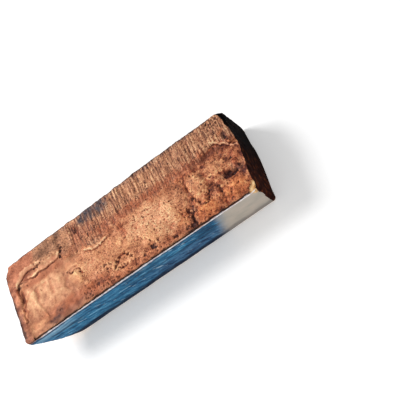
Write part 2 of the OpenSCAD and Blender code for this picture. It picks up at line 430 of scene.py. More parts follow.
def pitSpots():
    # seeded pinholes, more of them where the metal is sandy
    s = ingotSettings
    pick = random.Random(s["seed"])
    spots = []
    for count, across, over, sizes in s["pinholes"]:
        for i in range(count):
            place = (pick.uniform(*across), pick.uniform(*over))
            size = pick.uniform(*sizes)
            spots.append(place + (size, size * pick.uniform(0.6, 1.2), pick.uniform(0.3, 0.9)))
    return spots + s["pits"]


def pitMask(x, y):
    px = x + 0.7 * wander(x, y, 2.6, 61) + 0.35 * wander(x, y, 1.3, 65)
    py = y + 0.7 * wander(x, y, 2.6, 62) + 0.35 * wander(x, y, 1.3, 66)
    sunk = np.zeros(len(x))
    for cx, cy, rx, ry, deep in pitSpots():
        near = np.nonzero((np.abs(px - cx) < 1.3 * rx) & (np.abs(py - cy) < 1.3 * ry))[0]
        gap = np.hypot((px[near] - cx) / rx, (py[near] - cy) / ry)
        sunk[near] = np.maximum(sunk[near], deep * (1 - smoothStep(0.5, 1.25, gap)))
    return sunk


def foldMasks(x, y):
    # a standing fold, its lip with a painted highlight, and a gutter on its near side with painted shade
    fold, lip, gutter = np.zeros(len(x)), np.zeros(len(x)), np.zeros(len(x))
    torn = 0.8 + 0.3 * wander(x, y, 8, 22) + 0.1 * wander(x, y, 2.5, 24)
    for height, width, shine, line in ingotSettings["folds"]:
        gap, side = lineDistance(x, y, line)
        ragged = 0.55 if width < 1 else 0.15
        signed = gap * side + 0.7 * wander(x, y, 7, 21) + ragged * wander(x, y, 2.4, 23)
        crest = smoothStep(-0.4, 0.4, signed) * (1 - smoothStep(width, 5 * width, signed))
        fold = np.maximum(fold, height * torn * crest)
        bright = smoothStep(-0.3, 0.2, signed) * (1 - smoothStep(0.6 * width, 2.4 * width, signed))
        bright = bright * (1 - smoothStep(1.6 * width, 2.6 * width, gap))
        lip = np.maximum(lip, shine * torn * bright)
        hollow = np.exp(-((signed + 0.7) / 0.55) ** 2) * (gap < 3)
        gutter = np.maximum(gutter, height * torn * hollow)
    return np.clip(fold, 0, 1), np.clip(lip, 0, 1), np.clip(gutter, 0, 1)


def facetMask(x, y):
    rise = np.zeros(len(x))
    for height, line in ingotSettings["facets"]:
        gap, side = lineDistance(x, y, line)
        signed = gap * side + 0.8 * wander(x, y, 9, 27)
        step = smoothStep(-1.4, 1.0, signed) * (1 - smoothStep(0.8, 6, signed))
        step = step * (1 - smoothStep(3, 6, gap))
        rise = np.maximum(rise, height * step)
    return rise


def crackMask(x, y):
    crack = np.zeros(len(x))
    px = x + 0.7 * wander(x, y, 5, 31) + 0.3 * wander(x, y, 2, 32)
    py = y + 0.7 * wander(x, y, 5, 33) + 0.3 * wander(x, y, 2, 34)
    for depth, width, line in ingotSettings["cracks"]:
        gap, _ = lineDistance(px, py, line)
        crack = np.maximum(crack, depth * np.exp(-(gap / width) ** 2))
    return crack


def blobsMask(x, y, blobs, seed):
    px = x + 1.2 * wander(x, y, 9, seed)
    py = y + 1.2 * wander(x, y, 9, seed + 1)
    mask = np.zeros(len(x))
    for *area, amount in blobs:
        mask = np.maximum(mask, amount * blob(px, py, *area, 0.6))
    return mask


def softenFace(piece, weights):
    # the folded steps of the face flow together, folds come after
    paintGroup(piece, "soften", weights)
    soft = piece.modifiers.new("soften", "SMOOTH")
    soft.vertex_group = "soften"
    soft.factor = 0.5
    soft.iterations = ingotSettings["softenPasses"]
    applyModifier(piece, "soften")


def heelEdge(y):
    # where the rough face ends at the heel: a bulge, then a round far corner
    s = ingotSettings
    share = np.clip((y + 27.5) / 52, 0, 1)
    bulge = 4 * s["crown"] * share * (1 - share) * (1 + s["crownLean"] * (2 * share - 1))
    radius = s["heelCorner"]
    corner = np.sqrt(np.maximum(radius ** 2 - np.maximum(y - s["farCornerY"], 0) ** 2, 0)) - radius
    return s["heelX"] + bulge + corner


def flareHeel(piece, places):
    # below its edge the heel stands out towards the far corner
    x, y, z = places.T
    most = ingotSettings["flare"]
    outward = smoothStep(0.1, 0.4, vertexNormals(piece)[:, 0])
    room = np.clip(ingotSettings["flareTo"] - x, 0, most) / most
    under = (1 - smoothStep(-4, -0.5, z - faceHeight(x))) * (x > 90)
    displace(piece, "flareHeel", room * outward * under * smoothStep(-4, 14, y), most, "X")


def easeStep(piece, places, zones):
    # along the middle the band runs down into the field without an edge
    reach, height = ingotSettings["ease"]
    x, y = places[:, 0], places[:, 1]
    along = zones["top"] * smoothStep(-44, -36, x) * (1 - smoothStep(62, 74, x))
    fromBand = y - bandBorder(x)
    fill = along * (fromBand < 0) * (1 - smoothStep(0, reach, -fromBand))
    cut = along * (fromBand >= 0) * (1 - smoothStep(0, reach, fromBand))
    displace(piece, "fillStep", fill, height)
    displace(piece, "cutStep", cut, -height)


def textureStrokes(piece, places, zones):
    # random relief, each kind where the casting shows it
    s = ingotSettings
    x, y, z = places.T
    everywhere = np.ones(len(y))
    guides = {
        "stripe": guideEmpty("stripeGuide", (1.4, 18, 18)),
        "streak": guideEmpty("streakGuide", (4.5, 40, 40)),
        "swell": guideEmpty("swellGuide", (7, 20, 7)),
        "flow": guideEmpty("flowGuide", (26, 3.5, 2.2)),
    }
    sides = (1 - smoothStep(26, 30, z)) * (np.abs(y) > 30)
    upright = smoothStep(12, 22, z)
    farEdge = upright * smoothStep(27, 31, y)
    ends = upright * (smoothStep(94, 97, -x) + smoothStep(93, 96, x))
    tuck = smoothStep(24, 31, y) * np.interp(x, *s["tuckFar"])
    droop = smoothStep(12, 28, z) * (1 - smoothStep(-32, -21, y)) * nearDroop(x) / s["droop"]
    top = zones["top"]
    gritty = top * (1 - 0.75 * zones["smooth"])
    displace(piece, "tuckFar", tuck, -s["tuck"], "Y")
    displace(piece, "nearDroop", droop, -s["droop"])
    striped = top * zones["band"] * (0.3 + 0.7 * smoothStep(*s["stripesFrom"], x))
    # name, where, strength in mm, direction, size and depth of the clouds, guide
    relief = (
        ("unevenSkin", everywhere, 0.6, "NORMAL", 0.02, 2, None),
        ("softSwells", top * zones["smooth"], 0.7, "Z", 1.0, 1, "swell"),
        ("bandStripes", striped, 0.6, "Z", 1.0, 2, "stripe"),
        ("bandStreaks", top * zones["band"], 0.5, "Z", 1.0, 1, "streak"),
        ("sandGrain", gritty, 0.55, "Z", 0.0016, 3, None),
        ("fieldWaves", top * zones["field"], 0.7, "Z", 0.006, 2, None),
        ("heelLumps", top * zones["heel"], 1.1, "Z", 0.005, 3, None),
        ("farWaves", farEdge, 1.6, "Y", 0.007, 2, None),
        ("endWaves", ends, 1.4, "X", 0.006, 2, None),
        ("sideFlow", sides, 0.35, "Y", 1.0, 2, "flow"),
    )
    for name, where, strength, direction, size, depth, guide in relief:
        clouds = cloudTexture(name, size, depth)
        displace(piece, name, where, strength, direction, clouds, guides.get(guide))
    for guide in guides.values():
        bpy.data.objects.remove(guide)


def handStrokes(piece, places, zones):
    # listed relief: mounds, dents, folds, cracks and pinholes
    s = ingotSettings
    upper = np.nonzero(zones["top"] > 0.01)[0]
    x, y = places[upper, 0], places[upper, 1]
    fold, _, gutter = foldMasks(x, y)
    # name, where, height in mm
    strokes = (
        ("mounds", blobsMask(x, y, s["mounds"], 41), 1.0),
        ("dents", blobsMask(x, y, s["dents"], 43), -1.0),
        ("facets", facetMask(x, y), 0.65),
        ("folds", fold, 0.5),
        ("gutters", gutter, -0.6),
        ("cracks", crackMask(x, y), -1.0),
        ("pinholes", pitMask(x, y), -0.8),
    )
    for name, mask, strength in strokes:
        weights = np.zeros(len(places))
        weights[upper] = mask * zones["top"][upper]
        displace(piece, name, weights, strength)


def buildIngot():
    piece = copyNode()
    print("copied and remeshed", len(piece.data.vertices))
    places = vertexPlaces(piece)
    zones = faceZones(places)
    easeStep(piece, places, zones)
    flareHeel(piece, places)
    soft = within(places[:, 0], places[:, 1], ingotSettings["softenArea"])
    softenFace(piece, zones["top"] * soft)
    remesh(piece)
    places = vertexPlaces(piece)
    zones = faceZones(places)
    textureStrokes(piece, places, zones)
    handStrokes(piece, places, zones)
    thinHidden(piece)
    paintMasks(piece)
    return piece


def thinHidden(piece):
    # fewer faces on the base and the lower sides
    places = vertexPlaces(piece)
    low = 1 - smoothStep(ingotSettings["keepAbove"], ingotSettings["keepAbove"] + 2, places[:, 2])
    paintGroup(piece, "thinHere", low)
    thin = piece.modifiers.new("thin", "DECIMATE")
    thin.ratio = ingotSettings["triangles"] / (2 * len(piece.data.polygons))
    thin.vertex_group = "thinHere"
    applyModifier(piece, "thin")
    bpy.ops.object.shade_smooth()
    print("thinned", len(piece.data.polygons), "faces")


# stains on the casting, with a few patches of painted shadow and highlight, painted on its vertices

stainAndShadeSettings = {
    "colours": {
        "pale": (232, 176, 136),
        "sand": (222, 160, 118),
        "tan": (192, 134, 100),
        "copper": (166, 94, 64),
        "ochre": (202, 120, 78),
        "rust": (160, 84, 56),
        "umber": (116, 68, 52),
        "plum": (70, 38, 40),
        "soot": (40, 22, 22),
        "slate": (66, 62, 68),
    },
    # colour, x, y, half length, half width, amount
    "patches": [
        # toe
        # the copper patch at (-68, 7.6) is painted shade in the bay below the toe folds
        ("pale", -74, -5, 17, 9, 0.6), ("copper", -68, 7.6, 20, 4, 0.6), ("pale", -85.5, -8, 4, 9, 0.3),
        ("copper", -67, -6, 1.6, 4, 0.5), ("copper", -62, -23, 26, 5, 0.6),
        # the rust and umber strokes at x = -91 here and on the next line are a painted shadow inside the
        # toe rim
        ("sand", -88, -25, 9, 4, 0.6), ("rust", -91, 3, 1.4, 7, 0.8), ("umber", -91.2, -3, 1.0, 7, 0.5),
        ("rust", -91.6, -9, 2.0, 8, 0.85), ("soot", -91.4, 9.3, 1.6, 1.4, 0.9),
        # rust and umber under the first fold are its painted shadow
        ("rust", -81, 14, 8, 2.8, 0.9), ("umber", -80, 14.4, 7, 1.8, 0.5),
        ("copper", -90, 23, 16, 7, 0.5), ("umber", -97, 24, 4, 7, 0.6),
        ("plum", -98, -13, 2.5, 13, 0.6), ("plum", -97, -29, 4, 4, 0.5),
        ("umber", -95.5, -21, 2.4, 8, 0.45), ("umber", -49.5, 14, 3, 4, 0.6),
        # the sand stroke at x = -93.8 is a painted highlight on the rim's ridge
        ("sand", -46, 1, 7, 3, 0.6), ("sand", -93.8, -11, 1.2, 7, 0.6), ("rust", -56, -25, 18, 5, 0.6),
        # the copper patch at (-70, 8) is painted shade in the bay below the toe folds
        ("plum", -62, -29, 16, 3, 0.5), ("copper", -70, 8, 18, 3, 0.5),
        ("plum", -66, -23.5, 4, 2.6, 0.7), ("plum", -72, -27.5, 5, 2.6, 0.95),
        ("plum", -49, -26, 5, 2, 0.5), ("plum", -39, -27, 6, 2.4, 0.55),
        # middle
        ("sand", -36, -6, 12, 8, 0.6), ("pale", -33, -7, 6, 4, 0.4), ("rust", -31, -24, 9, 5, 0.6),
        ("plum", -28, -23, 4, 2.4, 0.5), ("plum", -24, -28, 7, 2, 0.4), ("sand", -14, -7, 11, 7, 0.7),
        ("copper", 0, -1, 2.6, 6, 0.8), ("sand", -8, -19.5, 8, 5, 0.6), ("sand", 24, -8, 23, 13, 0.85),
        ("pale", 22, -5, 18, 8, 0.75), ("pale", 34, -16, 9, 7, 0.6), ("rust", 8, -28, 44, 3.2, 0.35),
        ("plum", 16.5, -25, 2.6, 2.2, 0.6), ("plum", 34.6, -28.6, 2.4, 1.8, 0.6),
        ("rust", 0.6, -2, 1.8, 6, 0.75), ("rust", 47, -12, 1.6, 7, 0.5),
        # the copper belt at (22, 9.8) and the copper at (-14, 9) and (-37, 10) are copper colour and
        # partly painted shade of the band's eased slope
        ("copper", 22, 9.8, 36, 4.2, 0.95), ("copper", -14, 9, 10, 4, 0.5),
        ("copper", -37, 10, 10, 4, 0.5),
        # heel
        ("rust", 72, 9, 26, 4, 0.7), ("umber", 80, 8, 14, 2.6, 0.7), ("tan", 49, -6, 5, 7, 0.6),
        ("sand", 62.5, -6, 6, 8, 0.7), ("rust", 55.5, -5, 1.8, 9, 0.5), ("ochre", 44, -21, 5, 6, 0.5),
        ("plum", 50.5, -25, 3, 7, 0.35), ("plum", 48, -28, 5, 3.4, 0.35),
        ("pale", 52, -19.4, 2.4, 0.8, 0.9), ("ochre", 63, -25, 9, 5.5, 0.8),
        ("ochre", 87, -24, 10, 6.5, 0.8), ("sand", 78, -2, 7, 5, 0.5), ("umber", 92, -4, 4.5, 3, 0.6),
        ("rust", 95, -3, 5, 5, 0.5), ("plum", 86, -12, 4.5, 2, 0.85), ("plum", 92, -13.4, 5, 2, 0.85),
        ("plum", 89.5, -14.4, 3, 1.6, 0.8), ("plum", 95, -11, 2.4, 2.4, 0.7),
        ("plum", 90.5, -9.6, 2, 1.4, 0.6), ("umber", 73, -16, 5, 4, 0.4),
        ("plum", 96, 12.5, 2.4, 4, 0.8), ("ochre", 94, 17.5, 3, 2.5, 0.5), ("umber", 91, 23, 9, 7, 0.2),
        # band
        ("tan", 66, 21, 34, 7, 0.35), ("sand", 24, 20, 20, 7, 0.3), ("copper", -22, 14, 16, 7, 0.4),
        ("rust", -34, 20, 4, 9, 0.4), ("tan", -43, 19, 5, 8, 0.5), ("slate", -20, 27, 8, 5.4, 1.0),
        ("slate", -7, 26.6, 5.4, 5.4, 1.0), ("slate", 35, 30, 60, 1.4, 0.4),
        ("slate", -58, 30, 20, 1.6, 0.4), ("umber", -36.5, 24, 2, 7, 0.4),
    ],
}


tintSettings = {
    "chip": (99, -32, 32.5),  # middle of the chipped near corner
    "foot": (6, 9),  # heights over which the dark foot fades
    # the grey end of the near side is a painted reflection
    "greyFrom": (57.5, 0.32),  # where the grey end begins 5 mm up, and its lean
    # dark lines on the near side: height and half width
    "toeLine": (21, 1.4),
    "longLine": (20.3, 0.8),
    # the dark line under the burr is painted shade
    "underBurr": (-3.9, 0.9),  # measured from the rough face
    "navyCloud": (4, 27, 15, 4),  # x, height, half length, half height
    # the near side's painted reflection is darker below these heights
    "darkerBelow": (16, 21),
    "sheenHeights": (21.5, 24, 28, 30),
    # the brown is a painted reflected glow, the black painted shade
    "heelReflectedGlow": (-26, 14),  # from near to far, the heel turns from brown to black
}


def storeMask(piece, name, values):
    layer = piece.data.attributes.new(name, "FLOAT", "POINT")
    layer.data.foreach_set("value", np.clip(values, 0, 1).astype(np.float32))


def paintStainsAndShade(piece, x, y):
    # each patch is laid over the ones before it, with a wandering, speckled border
    px = x + 2.0 * wander(x, y, 11, 71) + 1.0 * wander(x, y, 3.5, 72)
    py = y + 1.5 * wander(x, y, 11, 73) + 1.0 * wander(x, y, 3.5, 74)
    tint, cover = np.zeros((len(x), 3)), np.zeros(len(x))
    for name, *area, amount in stainAndShadeSettings["patches"]:
        mask = amount * blob(px, py, *area, 0.45)
        colour = np.array(srgb(*stainAndShadeSettings["colours"][name])[:3])
        tint = tint * (1 - mask[:, None]) + colour * mask[:, None]
        cover = cover * (1 - mask) + mask
    shown = np.column_stack([tint / np.maximum(cover, 0.001)[:, None], cover])
    layer = piece.data.attributes.new("stainAndShade", "FLOAT_COLOR", "POINT")
    layer.data.foreach_set("color", shown.astype(np.float32).ravel())


def blurGrid(grid, reach):
    steps = np.arange(-3 * reach, 3 * reach + 1)
    kernel = np.exp(-0.5 * (steps / reach) ** 2)
    for axis in (0, 1):
        grid = np.apply_along_axis(np.convolve, axis, grid, kernel, "same")
    return grid


def standingOut(places, face, reach):
    # how far each spot of the rough face stands out from its surroundings, mm
    x, y, z = places.T
    cell = ingotSettings["voxel"]
    column = ((x - x.min()) / cell).astype(int)
    row = ((y - y.min()) / cell).astype(int)
    height = z - faceHeight(x)
    total = np.zeros((column.max() + 1, row.max() + 1))
    count = np.zeros_like(total)
    np.add.at(total, (column, row), height * (face > 0.5))
    np.add.at(count, (column, row), face > 0.5)
    level = blurGrid(total, reach) / np.maximum(blurGrid(count, reach), 0.001)
    nearRim = smoothStep(28.5, 31.5, np.abs(y)) + smoothStep(95.5, 98.5, np.abs(x))
    return (height - level[column, row]) * face * np.clip(1 - nearRim, 0, 1)


def paintFace(piece, places, tilt):
    # zones, folds, hollows, relief and stains of the rough face; the relief drives painted shade in
    # hollows and painted highlight on heights, and fold lips, gutters and some stain patches are painted
    # highlight and shade too
    x, y = places[:, 0], places[:, 1]
    zones = faceZones(places)
    for name in ("band", "rim", "smooth", "heel"):
        storeMask(piece, name + "Zone", zones[name])
    _, lip, gutter = foldMasks(x, y)
    storeMask(piece, "foldLipHighlight", lip * zones["top"])
    calm = 1 - smoothStep(*ingotSettings["stripesFrom"], x + 3 * wander(x, y, 15, 58))
    storeMask(piece, "calmBand", zones["band"] * calm)
    # pits and cracks are dark in themselves, the gutters' share is painted shade
    pitsAndGutterShade = np.maximum(pitMask(x, y), np.maximum(0.5 * gutter, 0.65 * crackMask(x, y)))
    storeMask(piece, "pitsAndGutterShade", pitsAndGutterShade * zones["top"])
    face = zones["top"] * smoothStep(0.3, 0.6, tilt)
    shown = 1 - 0.6 * zones["rim"]
    # painted shade in the hollows and painted highlight on the heights, at a fine and a broad size
    storeMask(piece, "fineReliefShading", 0.5 + shown * standingOut(places, face, 2) / 0.9)
    storeMask(piece, "broadReliefShading", 0.5 + shown * standingOut(places, face, 7) / 2.6)
    paintStainsAndShade(piece, x, y)


def paintEdges(piece, places, tilt):
    # the barked near edge with its painted highlight, painted shade in the crease beside it and along the
    # outer edges, painted shade on the toe's nose, and the chipped corner
    x, y, z = places.T
    edgeZ = faceHeight(x) - nearDroop(x) - ingotSettings["burrDrop"]
    toEdge = np.hypot(y - ingotSettings["nearY"], z - edgeZ)
    # the barked edge is bare metal with a painted highlight along it
    ragged = np.maximum(1.0 + 0.3 * wander(x, z, 11, 51) + 0.2 * wander(x, z, 4, 52), 0.3)
    storeMask(piece, "bareEdgeHighlight", (1 - smoothStep(0.6, 0.95, toEdge / ragged)) * smoothStep(-92, -84, x))
    # painted shade in the crease between the rough face and the burr
    beside = toEdge + 0.3 * wander(x, y, 6, 53)
    shadedCrease = smoothStep(0.7, 1.0, beside) * (1 - smoothStep(1.6, 2.3, beside)) * (z > edgeZ)
    shadedCrease = shadedCrease * (1.2 + 0.3 * wander(x, y, 8, 54))
    # painted shade on faces that turn away from the top and along the toe and far edges
    past = pastCorner(x, y)
    tilted = smoothStep(0.06, 0.3, 1 - tilt) * smoothStep(2.0, 4.0, past)
    outer = smoothStep(5.2, 7.0, past + 0.8 * wander(x, y, 6, 56))
    shadedCrease = np.maximum(shadedCrease, 0.8 * np.maximum(outer, tilted) * (y > -28) * (x < 90))
    storeMask(piece, "creaseAndEdgeShade", shadedCrease)
    # painted shade near the top of the toe's nose
    nose = smoothStep(66, 92, -x + 3 * wander(x, y, 9, 68))
    storeMask(piece, "noseShade", smoothStep(-5.5, -2.5, z - faceHeight(x)) * nose)
    chipX, chipY, chipZ = tintSettings["chip"]
    corner = np.hypot(np.hypot(x - chipX, y - chipY), 0.8 * (z - chipZ))
    broken = corner + 0.8 * wander(x, y, 5, 63) + 0.6 * wander(x, y, 2, 67)
    storeMask(piece, "chipped", 1 - smoothStep(5.2, 6.0, broken))


def darkLine(height, middle, halfWidth):
    return np.exp(-((height - middle) / halfWidth) ** 2)


def paintSides(piece, places):
    # colours of the near side, a painted sky reflection with streaks, painted shade under the burr and a
    # painted grey reflection at its heel end; the heel's painted reflected glow; dark foot of all sides
    t = tintSettings
    x, y, z = places.T
    storeMask(piece, "lowEdge", 1 - smoothStep(*t["foot"], z + 1.1 * wander(x, z, 14, 55)))
    greyX, lean = t["greyFrom"]
    border = greyX + lean * (z - 5) + 1.2 * wander(x, z, 12, 57)
    storeMask(piece, "greyReflection", smoothStep(-5, 6, x - border))
    level = z + 0.7 * wander(x, z, 30, 59)
    streak = darkLine(level, *t["toeLine"]) * smoothStep(-88, -80, x) * (1 - smoothStep(-62, -52, x))
    streak = np.maximum(streak, 0.8 * darkLine(level, *t["longLine"]) * smoothStep(-26, -14, x))
    # painted shade under the burr
    under = darkLine(z - faceHeight(x) + nearDroop(x), *t["underBurr"])
    under = under * (1 + 0.5 * wander(x, z, 7, 64))
    navy = 0.6 * smoothStep(38, 48, x) * smoothStep(14, 20, level) * (1 - smoothStep(54, 60, x))
    navy = np.maximum(navy, 0.55 * blob(x, level, *t["navyCloud"], 0.6))
    storeMask(piece, "darkStreakAndBurrShade", np.maximum(np.maximum(streak, navy), under))
    storeMask(piece, "lowSideDarker", (1 - smoothStep(*t["darkerBelow"], level)) * smoothStep(-40, 30, x))
    low, clear, fade, high = t["sheenHeights"]
    sheen = smoothStep(low, clear, level) * (1 - smoothStep(fade, high, level))
    storeMask(piece, "upperSheen", sheen * (1 - smoothStep(-70, -56, x)))
    # painted reflected glow on the heel towards the near side
    storeMask(piece, "heelReflectedGlow", 1 - smoothStep(*t["heelReflectedGlow"], y + 2 * wander(y, z, 9, 69)))


def paintMasks(piece):
    places = vertexPlaces(piece)
    tilt = vertexNormals(piece)[:, 2]
    paintFace(piece, places, tilt)
    paintEdges(piece, places, tilt)
    paintSides(piece, places)


def faceKinds(piece):
    # which material each face takes, in the order they are added
    face, side, heel, skin, base = range(5)
    polygons = piece.data.polygons
    x, y, z = (readVectors(polygons, "center") / mm).T
    nx, ny, nz = readVectors(polygons, "normal").T
    kind = np.full(len(polygons), skin)
    kind[(ny < -0.55) | ((y < -27) & (z < 8) & (nx > -0.3))] = side
    kind[nx > 0.6] = heel
    kind[nz < -0.8] = base
    inside = within(x, y, ingotSettings["inner"]) & (nz > -0.2) & (pastCorner(x, y) < 5.5)
    strayed = (y > 29) & (z < faceHeight(x) - 4)
    kind[(z > ingotSettings["keepAbove"]) & ((nz > 0.25) | inside) & ~strayed] = face
    kind[(ny < 0) & (nx < 0.6) & (z > faceHeight(x) - nearDroop(x) - 2.1)] = face
    # the flared heel takes the heel's painted shade up to the edge of the rough face
    flared = (x > heelEdge(y) - 1.5) & (y > -26) & (nx > 0.2)
    flared = flared | ((x > heelEdge(y) + 0.2) & (y > 10) & (ny < 0.8))
    kind[flared & (z < faceHeight(x) - 0.3) & (nz > -0.8)] = heel
    polygons.foreach_set("material_index", kind.astype(np.int32))


ingot = buildIngot()
faceKinds(ingot)
print("ingot built")

# materials


def newMaterial(name, metallic=0.0, specular=0.5):
    mat = bpy.data.materials.new(name)
    mat.use_nodes = True
    tree = mat.node_tree
    shader = tree.nodes["Principled BSDF"]
    shader.inputs["Metallic"].default_value = metallic
    shader.inputs["Specular IOR Level"].default_value = specular
    return mat, tree, shader


def addNode(tree, kind, **values):
    node = tree.nodes.new(kind)
    for key, value in values.items():
        setattr(node, key, value)
    return node


def noiseNode(tree, scale, stretch=(1, 1, 1), detail=3.0, rough=0.55, slant=0):
    # noise on object coordinates, scale in features a metre, slanted by degrees about y
    coords = addNode(tree, "ShaderNodeTexCoord")
    turned = addNode(tree, "ShaderNodeMapping")
    turned.inputs["Rotation"].default_value[1] = math.radians(slant)
    mapping = addNode(tree, "ShaderNodeMapping")
    mapping.inputs["Scale"].default_value = stretch
    noise = addNode(tree, "ShaderNodeTexNoise")
    noise.inputs["Scale"].default_value = scale
    noise.inputs["Detail"].default_value = detail
    noise.inputs["Roughness"].default_value = rough
    tree.links.new(coords.outputs["Object"], turned.inputs["Vector"])
    tree.links.new(turned.outputs["Vector"], mapping.inputs["Vector"])
    tree.links.new(mapping.outputs["Vector"], noise.inputs["Vector"])
    return noise.outputs["Fac"]


def rampNode(tree, source, stops):
    ramp = addNode(tree, "ShaderNodeValToRGB")
    bar = ramp.color_ramp.elements
    bar[0].position, bar[0].color = stops[0]
    bar[1].position, bar[1].color = stops[-1]
    for place, colour in stops[1:-1]:
        bar.new(place).color = colour
    tree.links.new(source, ramp.inputs["Fac"])
    return ramp.outputs["Color"]


def toneRamp(tree, source, *stops):
    # each stop is its place, then its red, green and blue on screen
    return rampNode(tree, source, [(place, srgb(*colour)) for place, *colour in stops])


def feed(tree, value, socket):
    # a plain value or a link from another node
    if isinstance(value, (int, float, tuple)):
        socket.default_value = value
    else:
        tree.links.new(value, socket)


def maskNode(tree, name, output="Fac"):
    return addNode(tree, "ShaderNodeAttribute", attribute_name=name).outputs[output]


def maskShare(tree, name, share):
    return mathNode(tree, "MULTIPLY", maskNode(tree, name), share)


def mixNode(tree, amount, first, second, blend="MIX"):
    mix = addNode(tree, "ShaderNodeMix", data_type="RGBA", blend_type=blend)
    for value, place in ((amount, 0), (first, 6), (second, 7)):
        feed(tree, value, mix.inputs[place])
    return mix.outputs[2]


def mathNode(tree, operation, first, second):
    node = addNode(tree, "ShaderNodeMath", operation=operation)
    feed(tree, first, node.inputs[0])
    feed(tree, second, node.inputs[1])
    return node.outputs[0]


def rangeNode(tree, source, low, high, outLow=0.0, outHigh=1.0):
    node = addNode(tree, "ShaderNodeMapRange", interpolation_type="SMOOTHSTEP")
    for key, value in (("From Min", low), ("From Max", high), ("To Min", outLow), ("To Max", outHigh)):
        node.inputs[key].default_value = value
    tree.links.new(source, node.inputs["Value"])
    return node.outputs["Result"]


def bumpNode(tree, height, shader, strength, distance):
    bump = addNode(tree, "ShaderNodeBump")
    bump.inputs["Strength"].default_value = strength
    bump.inputs["Distance"].default_value = distance * mm
    tree.links.new(height, bump.inputs["Height"])
    tree.links.new(bump.outputs["Normal"], shader.inputs["Normal"])


def edgeHighlightGroup():
    # bare metal where the near edge is barked, painted near white as a highlight, shared by the face and
    # the side
    group = bpy.data.node_groups.new("barkedEdgeHighlight", "ShaderNodeTree")
    for name, kind in (("Color", "NodeSocketColor"), ("Roughness", "NodeSocketFloat")):
        group.interface.new_socket(name, in_out="INPUT", socket_type=kind)
        group.interface.new_socket(name, in_out="OUTPUT", socket_type=kind)
    start = addNode(group, "NodeGroupInput")
    end = addNode(group, "NodeGroupOutput")
    grit = rangeNode(group, noiseNode(group, 700), 0.35, 0.6, 0.6, 1.0)
    amount = maskShare(group, "bareEdgeHighlight", grit)
    bright = toneRamp(group, noiseNode(group, 300), (0.35, 218, 208, 214), (0.6, 255, 252, 252))
    chip = toneRamp(group, noiseNode(group, 420), (0.35, 196, 140, 84), (0.6, 246, 210, 156))
    chipped = mixNode(group, maskNode(group, "chipped"), start.outputs["Color"], chip)
    group.links.new(mixNode(group, amount, chipped, bright), end.inputs["Color"])
    rough = mixNode(group, amount, start.outputs["Roughness"], (0.35, 0.35, 0.35, 1.0))
    group.links.new(rough, end.inputs["Roughness"])
    return group


barkedEdgeHighlight = edgeHighlightGroup()


def placeEdgeHighlight(tree, colour, roughness, shader):
    edge = addNode(tree, "ShaderNodeGroup", node_tree=barkedEdgeHighlight)
    tree.links.new(colour, edge.inputs["Color"])
    feed(tree, roughness, edge.inputs["Roughness"])
    tree.links.new(edge.outputs["Color"], shader.inputs["Base Color"])
    tree.links.new(edge.outputs["Roughness"], shader.inputs["Roughness"])


